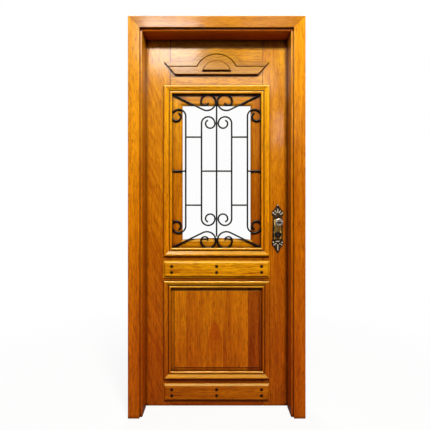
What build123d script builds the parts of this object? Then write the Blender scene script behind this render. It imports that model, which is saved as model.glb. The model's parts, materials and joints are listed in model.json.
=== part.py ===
from build123d import *
import os
from math import asin, cos, radians, sin

# A varnished solid wood entrance door: panelled leaf with a grilled window, in its jamb and trims.
# All sizes are in millimetres. X runs across the door, Y from the outside (front) to the inside
# (back), Z up from the floor. The origin is on the floor, at the middle of the width and depth.

# Leaf
leaf_width = 820.0
leaf_height = 2100.0
leaf_thickness = 35.0
floor_gap = 5.0
side_gap = 3.0
top_gap = 3.0
stile_width = 143.5
bottom_rail_height = 194.0
lower_opening_height = 487.0
middle_rail_height = 213.0
top_rail_height = 300.0
joint_groove = 3.6
joint_groove_depth = 4.0

# Jamb and trims
jamb_thickness = 35.0
jamb_depth = 140.0
stop_lap = 8.0
stop_gap = 3.0
jamb_edge_radius = 4.0
head_edge_radius = 9.0
trim_width = 62.0
trim_thickness = 15.0
trim_edge_radius = 2.5
front_reveal = 13.0
back_reveal = 10.0

# Bolection mouldings, boards, panel and pediment on the leaf
moulding_margin = 35.5
upper_moulding_lap = 11.5
lower_moulding_lap = 4.5
moulding_proud = 18.0
board_width = 610.0
board_thickness = 16.0
board_base_thickness = 5.5
board_step = 3.5
board_slope = 42.0
board_edge_radius = 2.0
middle_board_height = 100.0
middle_board_rise = 17.5
bottom_board_height = 102.0
bottom_board_rise = 31.0
nail_radius = 7.0
nail_dome = 4.0
nail_shank_radius = 2.0
nail_shank_length = 14.0
nail_clearance = 0.1
nail_joint_distance = 10.5
nail_pitch = 34.0
panel_tongue = 12.0
panel_setback = 10.0
panel_raise = 6.0
panel_margin = 16.5
groove_depth = 12.0
groove_clearance = 1.0
pediment_gap = 61.5
pediment_half_width = 237.0
pediment_height = 71.5
pediment_rake = 63.0
pediment_base = 6.0
pediment_upper_proud = 15.0
pediment_lower_band = 42.0
pediment_lower_proud = 17.0
pediment_groove = 4.0
pediment_edge_radius = 2.0
pediment_strip_height = 11.0
pediment_strip_proud = 20.0
pediment_strip_radius = 2.5
pediment_arc_drop = 10.0
pediment_outer_radius = 157.0
pediment_inner_radius = 122.0
tympanum_radius = 84.0
tympanum_rise = 20.0
tympanum_groove = 3.5
tympanum_proud = 24.0
tympanum_edge_radius = 4.0

# Butt hinges of the leaf
hinge_count = 3
hinge_height = 100.0
hinge_plate_width = 30.0
hinge_plate_thickness = 2.0
hinge_end_distance = 230.0
knuckle_radius = 5.5
knuckle_stand_off = 0.5
knuckles = 5
knuckle_gap = 0.2
hinge_pin_radius = 3.0
pin_clearance = 0.05
pin_cap_radius = 5.0
pin_cap_height = 4.0

# Countersunk wood screws of the hinges, plates and turn button
screw_head_radius = 4.0
screw_shank_radius = 1.8
screw_head_depth = 1.8
screw_length = 22.0
screw_clearance = 0.1
hinge_screws = 4

# Lock, its plates, knobs, cylinder and bolts
backset = 60.0
knob_height = 1052.0
knob_to_cylinder = 70.0
case_width = 82.0
case_height = 172.0
case_thickness = 16.0
case_drop = 118.0
case_clearance = 0.5
faceplate_thickness = 3.0
faceplate_width = 22.0
faceplate_overhang = 18.0
faceplate_screw_inset = 9.0
latch_height = 20.0
latch_thickness = 12.0
latch_reach = 11.0
latch_tail = 32.0
deadbolt_height = 30.0
deadbolt_thickness = 12.0
deadbolt_length = 36.0
deadbolt_throw = 20.0
bolt_clearance = 0.3
spindle_width = 8.0
spindle_clearance = 0.1
spindle_depth_in_knob = 18.0
hub_radius = 6.2
strike_thickness = 2.0
strike_width = 24.0
strike_margin = 22.0
strike_screw_inset = 9.0
keep_clearance = 1.5
plate_centre_drop = 36.0
plate_height = 280.0
plate_base = 3.0
plate_relief = 3.0
plate_petal = 3.5
plate_field_width = 41.0
plate_field_height = 117.0
plate_field_drop = 2.5
plate_screw_distance = 100.0
plate_screw_radius = 2.0
plate_screw_head_radius = 4.5
plate_screw_head_height = 2.2
plate_screw_bite = 4.0
knob_projection = 54.0
knob_radius = 23.5
knob_neck_radius = 10.0
knob_neck_length = 27.0
knob_face_recess = 3.5
knob_bar_height = 10.0
knob_rim = 5.0
shaft_clearance = 0.3
cylinder_radius = 11.5
cylinder_ring_radius = 18.0
cylinder_projection = 18.0
cylinder_face_recess = 2.0
plug_radius = 7.0
plug_clearance = 0.05
keyway_width = 2.4
keyway_height = 8.0
keyway_depth = 12.0

# Iron grille behind the upper moulding
bar_radius = 4.7
bar_gap = 0.1
twin_gap = 0.4
grille_depth = 7.0
outer_bar_x = 177.7
inner_scroll_drop = 178.8
inner_scroll_radii = (38.6, 27.0, 18.0)
outer_scroll_drop = 137.6
outer_scroll_radii = (40.0, 27.0, 18.0)
scroll_tail_turn = 80.0
brace_slope = 26.0
brace_turn_radius = 51.0
brace_scroll_drop = 53.0
brace_scroll_radius = 42.5
brace_tail_radius = 22.0
brace_tail_turn = 160.0
cross_bar_drop = 257.0

# Inner sash with its glass
sash_lip = 10.0
sash_shoulder = 13.0
sash_front_gap = 0.5
sash_edge_gap = 2.0
sash_stile = 65.0
sash_top_rail = 68.5
sash_bottom_rail = 53.0
sticking_width = 12.5
sticking_thickness = 10.0
sticking_bevel = 6.0
sash_arch_rise = 9.0
glass_thickness = 4.0
glass_rebate = 8.0
bead_width = 11.0
sash_hinge_height = 60.0
sash_hinge_distance = 150.0
sash_knuckle_radius = 4.0
sash_knuckle_stand_off = 0.3
sash_plate_thickness = 2.0
sash_plate_width = 22.0
sash_pin_radius = 2.0
sash_screw_pitch = 36.0
button_length = 60.0
button_width = 16.0
button_thickness = 5.0
button_edge_distance = 15.5
button_stand_off = 0.3

# Places worked out from the sizes above
leaf_half = leaf_width / 2
rebate_x = leaf_half + side_gap
stop_x = rebate_x - stop_lap
jamb_outer_x = stop_x + jamb_thickness
jamb_back = (jamb_depth + trim_thickness - knob_projection) / 2
jamb_front = jamb_back - jamb_depth
leaf_back = jamb_back
leaf_front = leaf_back - leaf_thickness
leaf_middle = leaf_front + leaf_thickness / 2
stop_face = leaf_front - stop_gap
leaf_bottom = floor_gap
leaf_top = leaf_bottom + leaf_height
rebate_top = leaf_top + top_gap
head_bottom = rebate_top - stop_lap
opening_half = leaf_half - stile_width
lower_opening_bottom = leaf_bottom + bottom_rail_height
lower_opening_top = lower_opening_bottom + lower_opening_height
upper_opening_bottom = lower_opening_top + middle_rail_height
upper_opening_top = leaf_top - top_rail_height
window_middle = (upper_opening_bottom + upper_opening_top) / 2
window_half = (upper_opening_top - upper_opening_bottom) / 2
moulding_half = opening_half + moulding_margin
upper_moulding_width = moulding_margin + upper_moulding_lap
lower_moulding_width = moulding_margin + lower_moulding_lap
lower_moulding_top = lower_opening_top + moulding_margin
upper_moulding_bottom = upper_opening_bottom - moulding_margin
upper_moulding_top = upper_opening_top + moulding_margin
middle_board_z = lower_moulding_top + middle_board_rise + middle_board_height / 2
bottom_board_z = leaf_bottom + bottom_board_rise + bottom_board_height / 2
pediment_z = upper_moulding_top + pediment_gap
hinge_x = -(leaf_half + side_gap / 2)
hinge_y = leaf_back + knuckle_radius + knuckle_stand_off
lock_x = leaf_half - backset
knob_z = leaf_bottom + knob_height
cylinder_z = knob_z - knob_to_cylinder
plate_z = knob_z - plate_centre_drop
case_left = leaf_half - faceplate_thickness - case_width
case_right = leaf_half - faceplate_thickness
case_bottom = knob_z - case_drop
case_top = case_bottom + case_height
plate_total = plate_base + plate_relief
plate_unit = plate_height / 280
grille_y = leaf_front + grille_depth
inner_bar_x = 2 * (inner_scroll_radii[0] + bar_radius + bar_gap)
inner_scroll_rise = window_half - inner_scroll_drop
outer_scroll_rise = window_half - outer_scroll_drop
brace_scroll_rise = window_half - brace_scroll_drop
cross_bar_rise = window_half - cross_bar_drop
sash_half = opening_half + sash_lip - sash_edge_gap
sash_bottom = upper_opening_bottom - sash_lip + sash_edge_gap
sash_top = upper_opening_top + sash_lip - sash_edge_gap
sash_front = leaf_front + sash_shoulder + sash_front_gap
sash_back = leaf_back
sash_face_half = sash_half - sash_stile
sash_face_top = sash_top - sash_top_rail
sash_face_bottom = sash_bottom + sash_bottom_rail
sight_half = sash_face_half - sticking_width
sight_top = sash_face_top - sticking_width
sight_bottom = sash_face_bottom + sticking_width
glass_front = sash_front + sticking_thickness
sash_hinge_x = -(sash_half + sash_edge_gap / 2)
sash_hinge_y = leaf_back + sash_knuckle_radius + sash_knuckle_stand_off
sash_plate_start = sash_knuckle_radius + sash_knuckle_stand_off
sash_hinge_heights = (sash_bottom + sash_hinge_distance, sash_top - sash_hinge_distance)
button_x = sash_half + sash_edge_gap + button_edge_distance


def front_plane(depth):
    """A plane at this depth that faces the outside, with its x along X and its y along Z."""
    return Plane(origin=(0, depth, 0), x_dir=(1, 0, 0), z_dir=(0, -1, 0))


def save(piece, label):
    """Names a finished piece and writes its STEP file."""
    piece.part.label = label
    export_step(piece.part, f"parts/{label}.step")


def block(low, high, mode=Mode.ADD):
    """A box between two opposite corners."""
    centre = [(a + b) / 2 for a, b in zip(low, high)]
    sizes = [b - a for a, b in zip(low, high)]
    with Locations(tuple(centre)):
        return Box(*sizes, mode=mode)


def rod(centre, radius, length, toward, mode=Mode.ADD):
    """A cylinder that starts at a point and runs a length toward a direction."""
    with Locations(Plane(origin=centre, z_dir=toward)):
        Cylinder(radius, length, align=(Align.CENTER, Align.CENTER, Align.MIN), mode=mode)


def screw(place, toward, extra=0.0, mode=Mode.ADD):
    """A countersunk wood screw whose head face lies at a place, or with extra size its hole."""
    head = screw_head_radius + extra
    shank = screw_shank_radius + extra
    across = Vector(0, 0, 1)
    half_plane = Plane(origin=place, x_dir=across, z_dir=across.cross(Vector(*toward)))
    with BuildSketch(half_plane) as half_screw:
        with BuildLine():
            Polyline(
                (0, 0),
                (head, 0),
                (shank, screw_head_depth + extra),
                (shank, screw_length + extra),
                (0, screw_length + extra),
                close=True,
            )
        make_face()
    revolve(half_screw.sketch, axis=Axis(place, toward), mode=mode)


def hinge_heights():
    """Middle heights of the hinges of the leaf, spread evenly from bottom to top."""
    lowest = leaf_bottom + hinge_end_distance
    highest = leaf_top - hinge_end_distance
    step = (highest - lowest) / (hinge_count - 1)
    return [lowest + step * index for index in range(hinge_count)]


def hinge_screw_places(side):
    """Head faces of the hinge screws, on the jamb plate (-1) or the door plate (+1)."""
    face = hinge_x + side * side_gap / 2
    y = leaf_back - hinge_plate_width / 2
    pitch = hinge_height / hinge_screws
    places = []
    for height in hinge_heights():
        for index in range(hinge_screws):
            places.append((face, y, height + pitch * (index - (hinge_screws - 1) / 2)))
    return places


def sash_screw_places(side):
    """Head faces of the sash hinge screws, on the stile plate (-1) or the sash plate (+1)."""
    x = sash_hinge_x + side * (sash_plate_start + sash_plate_width / 2)
    return [
        (x, leaf_back + sash_plate_thickness, height + sign * sash_screw_pitch / 2)
        for height in sash_hinge_heights
        for sign in (-1, 1)
    ]


strike_low = cylinder_z - deadbolt_height / 2 - strike_margin
strike_high = knob_z + latch_height / 2 + strike_margin
strike_screw_places = [
    (rebate_x, leaf_middle, strike_low + strike_screw_inset),
    (rebate_x, leaf_middle, strike_high - strike_screw_inset),
]
faceplate_low = case_bottom - faceplate_overhang
faceplate_high = case_top + faceplate_overhang
faceplate_screw_places = [
    (leaf_half, leaf_middle, faceplate_low + faceplate_screw_inset),
    (leaf_half, leaf_middle, faceplate_high - faceplate_screw_inset),
]
button_screw_place = (button_x, leaf_back + button_stand_off + button_thickness, window_middle)


# Side jambs, with the rebate that the leaf closes against
def jamb(side):
    with BuildPart() as piece:
        with BuildSketch():
            with BuildLine():
                Polyline(
                    (side * stop_x, jamb_front),
                    (side * jamb_outer_x, jamb_front),
                    (side * jamb_outer_x, jamb_back),
                    (side * rebate_x, jamb_back),
                    (side * rebate_x, stop_face),
                    (side * stop_x, stop_face),
                    close=True,
                )
            make_face()
        extrude(amount=head_bottom)
        inner_edges = piece.edges().filter_by(Axis.Z).filter_by_position(
            Axis.Y, jamb_front - 1, jamb_front + 1
        )
        fillet(inner_edges.sort_by(Axis.X)[0 if side > 0 else -1], radius=jamb_edge_radius)
        if side < 0:
            for height in hinge_heights():
                block(
                    (-rebate_x - hinge_plate_thickness, leaf_back - hinge_plate_width,
                     height - hinge_height / 2),
                    (-rebate_x, jamb_back, height + hinge_height / 2),
                    mode=Mode.SUBTRACT,
                )
            for place in hinge_screw_places(-1):
                screw(place, (-1, 0, 0), screw_clearance, Mode.SUBTRACT)
        else:
            block(
                (rebate_x, leaf_middle - strike_width / 2, strike_low),
                (rebate_x + strike_thickness, leaf_middle + strike_width / 2, strike_high),
                mode=Mode.SUBTRACT,
            )
            for low, high in keep_pockets():
                block(low, high, mode=Mode.SUBTRACT)
            for place in strike_screw_places:
                screw(place, (1, 0, 0), screw_clearance, Mode.SUBTRACT)
    return piece


def keep_pockets():
    """Low and high corners of the pockets that the latch and the deadbolt enter."""
    pockets = []
    for height, tall, thick, reach in (
        (knob_z, latch_height, latch_thickness, latch_reach),
        (cylinder_z, deadbolt_height, deadbolt_thickness, deadbolt_throw),
    ):
        half_tall = tall / 2 + keep_clearance
        half_thick = thick / 2 + keep_clearance
        pockets.append((
            (rebate_x, leaf_middle - half_thick, height - half_tall),
            (leaf_half + reach + keep_clearance, leaf_middle + half_thick, height + half_tall),
        ))
    return pockets


os.makedirs("parts", exist_ok=True)

save(jamb(-1), "jamb_left")
save(jamb(1), "jamb_right")

# Head of the frame, lying on the side jambs
with BuildPart() as jamb_head:
    block((-jamb_outer_x, jamb_front, head_bottom),
          (jamb_outer_x, jamb_back, head_bottom + jamb_thickness))
    block((-rebate_x, stop_face, head_bottom), (rebate_x, jamb_back, rebate_top),
          mode=Mode.SUBTRACT)
    front_edges = jamb_head.edges().filter_by(Axis.X).group_by(Axis.Y)[0]
    fillet(front_edges.sort_by(Axis.Z)[0], radius=head_edge_radius)
save(jamb_head, "jamb_head")


# Flat mitred trims that cover the joint of the jamb and the wall, on both faces
def trim(inner_half, inner_top, near_face, toward, side):
    """One trim of a face. Side is -1 or 1 for the uprights and 0 for the head."""
    outer_half = stop_x + front_reveal + trim_width
    outer_top = head_bottom + front_reveal + trim_width
    with BuildPart() as piece:
        with BuildSketch(front_plane(near_face)):
            with BuildLine():
                if side == 0:
                    Polyline(
                        (-inner_half, inner_top),
                        (inner_half, inner_top),
                        (outer_half, outer_top),
                        (-outer_half, outer_top),
                        close=True,
                    )
                else:
                    Polyline(
                        (side * inner_half, 0),
                        (side * outer_half, 0),
                        (side * outer_half, outer_top),
                        (side * inner_half, inner_top),
                        close=True,
                    )
            make_face()
        extrude(amount=-toward * trim_thickness)
        show_face = piece.faces().sort_by(Axis.Y)[0 if toward < 0 else -1]
        along = Axis.X if side == 0 else Axis.Z
        fillet(show_face.edges().filter_by(along), radius=trim_edge_radius)
    return piece


for trim_name, trim_side in (("left", -1), ("right", 1), ("head", 0)):
    front_trim = trim(stop_x + front_reveal, head_bottom + front_reveal, jamb_front, -1, trim_side)
    save(front_trim, f"architrave_front_{trim_name}")
    back_trim = trim(rebate_x + back_reveal, rebate_top + back_reveal, jamb_back, 1, trim_side)
    save(back_trim, f"architrave_back_{trim_name}")

# Strike plate on the lock jamb, with the holes for the latch and the deadbolt
with BuildPart() as strike_plate:
    block((rebate_x, leaf_middle - strike_width / 2, strike_low),
          (rebate_x + strike_thickness, leaf_middle + strike_width / 2, strike_high))
    for pocket_low, pocket_high in keep_pockets():
        block(pocket_low, pocket_high, mode=Mode.SUBTRACT)
    for place in strike_screw_places:
        screw(place, (1, 0, 0), screw_clearance, Mode.SUBTRACT)
save(strike_plate, "strike_plate")


# Butt hinges: a plate let into the wood, with knuckles that share one pin
def hinge_half(side):
    """All jamb plates (-1) or door plates (+1), with their own knuckles."""
    knuckle_pitch = hinge_height / knuckles
    inner = hinge_x + side * side_gap / 2
    outer = inner + side * hinge_plate_thickness
    first = 0 if side < 0 else 1
    with BuildPart() as piece:
        for height in hinge_heights():
            low = height - hinge_height / 2
            block((min(inner, outer), leaf_back - hinge_plate_width, low),
                  (max(inner, outer), leaf_back, low + hinge_height))
            for index in range(first, knuckles, 2):
                start = low + knuckle_pitch * index + knuckle_gap / 2
                knuckle_height = knuckle_pitch - knuckle_gap
                block((min(inner, outer), leaf_back, start),
                      (max(inner, outer), hinge_y, start + knuckle_height))
                rod((hinge_x, hinge_y, start), knuckle_radius, knuckle_height, (0, 0, 1))
                rod((hinge_x, hinge_y, start), hinge_pin_radius + pin_clearance,
                    knuckle_height, (0, 0, 1), Mode.SUBTRACT)
        for place in hinge_screw_places(side):
            screw(place, (side, 0, 0), screw_clearance, Mode.SUBTRACT)
    return piece


save(hinge_half(-1), "hinge_frame_leaves")
save(hinge_half(1), "hinge_door_leaves")

with BuildPart() as hinge_pins:
    for height in hinge_heights():
        half = hinge_height / 2
        rod((hinge_x, hinge_y, height - half), hinge_pin_radius, hinge_height, (0, 0, 1))
        for sign in (-1, 1):
            start = height + sign * half - knuckle_gap / 2 * sign
            rod((hinge_x, hinge_y, start), pin_cap_radius, pin_cap_height, (0, 0, sign))
save(hinge_pins, "hinge_pins")

with BuildPart() as frame_screws:
    for place in hinge_screw_places(-1):
        screw(place, (-1, 0, 0))
    for place in strike_screw_places:
        screw(place, (1, 0, 0))
save(frame_screws, "frame_screws")

with BuildPart() as leaf_screws:
    for place in hinge_screw_places(1):
        screw(place, (1, 0, 0))
    for place in faceplate_screw_places:
        screw(place, (-1, 0, 0))
    for place in sash_screw_places(-1) + [button_screw_place]:
        screw(place, (0, -1, 0))
save(leaf_screws, "leaf_screws")


# Stiles of the leaf, rebated behind the window and grooved for the lower panel
def stile(side):
    inner = side * opening_half
    rebate = side * (opening_half + sash_lip)
    groove = side * (opening_half + groove_depth)
    with BuildPart() as piece:
        block((min(inner, side * leaf_half), leaf_front, leaf_bottom),
              (max(inner, side * leaf_half), leaf_back, leaf_top))
        block((min(inner, rebate), leaf_front + sash_shoulder, upper_opening_bottom - sash_lip),
              (max(inner, rebate), leaf_back, upper_opening_top + sash_lip), mode=Mode.SUBTRACT)
        block((min(inner, groove), leaf_front + panel_setback,
               lower_opening_bottom - groove_depth),
              (max(inner, groove), leaf_front + panel_setback + panel_tongue,
               lower_opening_top + groove_depth), mode=Mode.SUBTRACT)
        if side < 0:
            for height in hinge_heights():
                block((-leaf_half, leaf_back - hinge_plate_width, height - hinge_height / 2),
                      (-leaf_half + hinge_plate_thickness, leaf_back, height + hinge_height / 2),
                      mode=Mode.SUBTRACT)
            for place in hinge_screw_places(1):
                screw(place, (1, 0, 0), screw_clearance, Mode.SUBTRACT)
            for place in sash_screw_places(-1):
                screw(place, (0, -1, 0), screw_clearance, Mode.SUBTRACT)
        else:
            case_half = case_thickness / 2 + case_clearance
            block((case_left - case_clearance, leaf_middle - case_half,
                   case_bottom - case_clearance),
                  (case_right, leaf_middle + case_half, case_top + case_clearance),
                  mode=Mode.SUBTRACT)
            block((case_right, leaf_middle - faceplate_width / 2, faceplate_low),
                  (leaf_half, leaf_middle + faceplate_width / 2, faceplate_high),
                  mode=Mode.SUBTRACT)
            rod((lock_x, leaf_front, knob_z), knob_neck_radius + shaft_clearance,
                leaf_thickness, (0, 1, 0), Mode.SUBTRACT)
            rod((lock_x, leaf_front, cylinder_z), cylinder_radius + shaft_clearance,
                leaf_thickness, (0, 1, 0), Mode.SUBTRACT)
            for offset in (-plate_screw_distance, plate_screw_distance):
                rod((lock_x, leaf_front, plate_z + offset), plate_screw_radius + shaft_clearance,
                    leaf_thickness, (0, 1, 0), Mode.SUBTRACT)
            for place in faceplate_screw_places:
                screw(place, (-1, 0, 0), screw_clearance, Mode.SUBTRACT)
            screw(button_screw_place, (0, -1, 0), screw_clearance, Mode.SUBTRACT)
    return piece


save(stile(-1), "stile_left")
save(stile(1), "stile_right")


# Rails of the leaf, with a fine groove down their front where their ends meet the stiles
def rail(bottom, top, sash_edge, panel_edge):
    """A rail. Each edge is -1 or 1 where its bottom or top meets a sash or panel, 0 if neither."""
    with BuildPart() as piece:
        block((-opening_half, leaf_front, bottom), (opening_half, leaf_back, top))
        if sash_edge:
            edge = top if sash_edge > 0 else bottom
            inside = edge - sash_edge * sash_lip
            block((-opening_half, leaf_front + sash_shoulder, min(edge, inside)),
                  (opening_half, leaf_back, max(edge, inside)), mode=Mode.SUBTRACT)
        if panel_edge:
            edge = top if panel_edge > 0 else bottom
            inside = edge - panel_edge * groove_depth
            block((-opening_half, leaf_front + panel_setback, min(edge, inside)),
                  (opening_half, leaf_front + panel_setback + panel_tongue, max(edge, inside)),
                  mode=Mode.SUBTRACT)
        for side in (-1, 1):
            end, inside = side * opening_half, side * (opening_half - joint_groove)
            block((min(end, inside), leaf_front, bottom),
                  (max(end, inside), leaf_front + joint_groove_depth, top), mode=Mode.SUBTRACT)
    return piece


save(rail(upper_opening_top, leaf_top, -1, 0), "rail_top")
save(rail(lower_opening_top, upper_opening_bottom, 1, -1), "rail_middle")
save(rail(leaf_bottom, lower_opening_bottom, 0, 1), "rail_bottom")

# Raised and fielded lower panel, held by its tongue in the grooves
panel_half_width = opening_half + groove_depth - groove_clearance
panel_low = lower_opening_bottom - groove_depth + groove_clearance
panel_high = lower_opening_top + groove_depth - groove_clearance
panel_middle_z = (panel_low + panel_high) / 2
field_inset = lower_moulding_lap + panel_margin
field_width = 2 * (opening_half - field_inset)
field_height = lower_opening_height - 2 * field_inset
with BuildPart() as panel_lower:
    block((-panel_half_width, leaf_front + panel_setback, panel_low),
          (panel_half_width, leaf_front + panel_setback + panel_tongue, panel_high))
    for face_depth, direction in (
        (leaf_front + panel_setback, 1),
        (leaf_front + panel_setback + panel_tongue, -1),
    ):
        with BuildSketch(front_plane(face_depth)):
            with Locations((0, panel_middle_z)):
                Rectangle(field_width, field_height)
        extrude(amount=direction * panel_raise, taper=30)
save(panel_lower, "panel_lower")


# Bolection mouldings: a round nose, a quirk and a bead that laps over the opening
def moulding_profile(width, proud):
    """Section of a moulding, from its outer edge at x = 0 to the edge over the opening."""
    nose_out = (0, 0.45 * proud)
    nose_in = (0.24 * width, 0.97 * proud)
    slope_end = (0.6 * width, 0.46 * proud)
    quirk_out = (0.64 * width, 0.22 * proud)
    quirk_in = (0.71 * width, 0.22 * proud)
    edge = (width, 0.3 * proud)
    with BuildSketch() as section:
        with BuildLine():
            Polyline((width, 0), (0, 0), nose_out)
            ThreePointArc(nose_out, (0.08 * width, 0.9 * proud), nose_in)
            Polyline(nose_in, slope_end, quirk_out, quirk_in)
            ThreePointArc(quirk_in, (0.85 * width, 0.62 * proud), edge)
            Line(edge, (width, 0))
        make_face()
    return section.sketch


def sticking_profile(width, proud):
    """Section of the bevelled inner edge of the sash, from the member to the sight line."""
    with BuildSketch() as section:
        with BuildLine():
            Polyline(
                (0, 0),
                (0, proud),
                (0.16 * width, proud),
                (width, proud - sticking_bevel),
                (width, 0),
                close=True,
            )
        make_face()
    return section.sketch


def bead_profile(width, proud):
    """Section of a glazing bead, with a bevel toward the glass."""
    with BuildSketch() as section:
        with BuildLine():
            Polyline(
                (0, 0),
                (0, proud),
                (0.45 * width, proud),
                (width, 0.4 * proud),
                (width, 0),
                close=True,
            )
        make_face()
    return section.sketch


def mitred_length(profile, width, proud, box, side, base, facing):
    """One side of a frame of moulding, mitred at both ends.

    The box gives the outer half width, bottom and top of the frame. Side is the direction from
    this length toward the middle of the frame. Base is the depth that it lies on, and facing
    is -1 for the front and 1 for the back.
    """
    half, bottom, top = box
    inward = Vector(side[0], 0, side[1])
    along = inward.cross(Vector(0, facing, 0))
    middle_z = (bottom + top) / 2
    half_tall = (top - bottom) / 2
    start = Vector(-side[0] * half, base, middle_z - side[1] * half_tall)
    reach = half_tall if side[0] else half
    with BuildSketch(Plane(origin=start, x_dir=inward, z_dir=along)) as section:
        add(profile(width, proud))
    extrude(section.sketch, amount=reach, both=True)
    for sign in (-1, 1):
        corner = start + along * (sign * reach)
        toward_middle = along * -sign
        split(bisect_by=Plane(origin=corner, z_dir=toward_middle - inward), keep=Keep.TOP)


frame_sides = {"top": (0, -1), "bottom": (0, 1), "left": (1, 0), "right": (-1, 0)}
upper_box = (moulding_half, upper_moulding_bottom, upper_moulding_top)
lower_box = (moulding_half, lower_opening_bottom - moulding_margin, lower_moulding_top)

for moulding_name, moulding_box, width in (
    ("upper", upper_box, upper_moulding_width),
    ("lower", lower_box, lower_moulding_width),
):
    for side_name, direction in frame_sides.items():
        with BuildPart() as moulding:
            mitred_length(moulding_profile, width, moulding_proud, moulding_box, direction,
                          leaf_front, -1)
        save(moulding, f"moulding_{moulding_name}_{side_name}")

back_lengths = []
for direction in frame_sides.values():
    with BuildPart() as back_length:
        mitred_length(moulding_profile, lower_moulding_width, moulding_proud, lower_box,
                      direction, leaf_back, 1)
    back_lengths.append(back_length.part)
with BuildPart() as mouldings_back:
    add(back_lengths)
save(mouldings_back, "mouldings_back")


# Bevelled boards across the middle and bottom rails, held by dark domed nails
def nail_points(board_z):
    reach = opening_half - nail_joint_distance
    return [
        (x, board_z + sign * nail_pitch / 2) for x in (-reach, 0, reach) for sign in (-1, 1)
    ]


def board(board_z, height):
    with BuildPart() as piece:
        with BuildSketch(front_plane(leaf_front)):
            with Locations((0, board_z)):
                Rectangle(board_width, height)
        extrude(amount=board_base_thickness)
        with BuildSketch(front_plane(leaf_front - board_base_thickness)):
            with Locations((0, board_z)):
                Rectangle(board_width - 2 * board_step, height - 2 * board_step)
        extrude(amount=board_thickness - board_base_thickness, taper=board_slope)
        face_edges = piece.faces().sort_by(Axis.Y)[0].edges()
        fillet(face_edges, radius=board_edge_radius)
        for x, z in nail_points(board_z):
            rod((x, leaf_front - board_thickness, z), nail_shank_radius + nail_clearance,
                nail_shank_length + nail_clearance, (0, 1, 0), Mode.SUBTRACT)
    return piece


save(board(middle_board_z, middle_board_height), "board_middle")
save(board(bottom_board_z, bottom_board_height), "board_bottom")

dome_sphere = (nail_radius ** 2 + nail_dome ** 2) / (2 * nail_dome)
dome_angle = asin(nail_radius / dome_sphere) / 2
dome_middle = (dome_sphere * sin(dome_angle), dome_sphere * (1 - cos(dome_angle)) - nail_dome)
with BuildPart() as nails:
    for nail_x, nail_z in nail_points(middle_board_z) + nail_points(bottom_board_z):
        nail_face = leaf_front - board_thickness
        nail_plane = Plane(origin=(nail_x, nail_face, nail_z), x_dir=(1, 0, 0), z_dir=(0, 0, 1))
        with BuildSketch(nail_plane):
            with BuildLine():
                Line((0, -nail_dome), (0, nail_shank_length))
                Line((0, nail_shank_length), (nail_shank_radius, nail_shank_length))
                Line((nail_shank_radius, nail_shank_length), (nail_shank_radius, 0))
                Line((nail_shank_radius, 0), (nail_radius, 0))
                ThreePointArc((nail_radius, 0), dome_middle, (0, -nail_dome))
            make_face()
        revolve(axis=Axis((nail_x, nail_face, nail_z), (0, 1, 0)))
save(nails, "nails")


# Arched pediment on the top rail, carved from one piece
def pediment_outline(height, radius):
    """Raked outline up to a height, with an arch about a centre below its base line."""
    reach = pediment_rake * height / pediment_height
    with BuildSketch() as outline:
        with BuildLine():
            Polyline(
                (-pediment_half_width, 0),
                (pediment_half_width, 0),
                (pediment_half_width + reach, height),
                (-pediment_half_width - reach, height),
                close=True,
            )
        make_face()
        if radius:
            with Locations((0, -pediment_arc_drop)):
                Circle(radius)
            with Locations((0, -radius)):
                Rectangle(4 * pediment_half_width, 2 * radius, mode=Mode.SUBTRACT)
    return outline.sketch


def half_disc(radius, rise):
    """Upper part of a disc about the centre of the arch, cut off level at a rise."""
    with BuildSketch() as outline:
        with Locations((0, pediment_z - pediment_arc_drop)):
            Circle(radius)
        with Locations((0, pediment_z + rise - 2 * radius)):
            Rectangle(4 * radius, 4 * radius, mode=Mode.SUBTRACT)
    return outline.sketch


with BuildPart() as pediment:
    with BuildSketch(front_plane(leaf_front)):
        with Locations((0, pediment_z)):
            add(pediment_outline(pediment_height, pediment_outer_radius))
    extrude(amount=pediment_base)
    with BuildSketch(front_plane(leaf_front - pediment_base)):
        with Locations((0, pediment_z)):
            add(pediment_outline(pediment_height, pediment_outer_radius))
            add(pediment_outline(pediment_lower_band + pediment_groove,
                                 pediment_inner_radius + pediment_groove), mode=Mode.SUBTRACT)
    extrude(amount=pediment_upper_proud - pediment_base)
    upper_edges = pediment.faces().sort_by(Axis.Y)[0].edges()
    chamfer(upper_edges, length=pediment_edge_radius)
    with BuildSketch(front_plane(leaf_front - pediment_base)):
        with Locations((0, pediment_z)):
            add(pediment_outline(pediment_lower_band, pediment_inner_radius))
    extrude(amount=pediment_lower_proud - pediment_base)
    lower_edges = pediment.faces().sort_by(Axis.Y)[0].edges()
    chamfer(lower_edges, length=pediment_edge_radius)
    with BuildSketch(front_plane(leaf_front - pediment_lower_proud)):
        add(half_disc(tympanum_radius + tympanum_groove, pediment_strip_height))
    extrude(amount=pediment_base - pediment_lower_proud, mode=Mode.SUBTRACT)
    with BuildSketch(front_plane(leaf_front - pediment_base)):
        add(half_disc(tympanum_radius, tympanum_rise))
    extrude(amount=tympanum_proud - pediment_base)
    disc_edges = pediment.faces().sort_by(Axis.Y)[0].edges()
    fillet(disc_edges, radius=tympanum_edge_radius)
    with BuildSketch(front_plane(leaf_front)):
        with Locations((0, pediment_z)):
            add(pediment_outline(pediment_strip_height, 0))
    extrude(amount=pediment_strip_proud)
    strip_face = pediment.faces().filter_by(Axis.Y).sort_by(
        lambda face: abs(face.center().Y - leaf_front + pediment_strip_proud)
    )[0]
    fillet(strip_face.edges().filter_by(Axis.X).sort_by(Axis.Z)[-1],
           radius=pediment_strip_radius)
save(pediment, "pediment")

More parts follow.
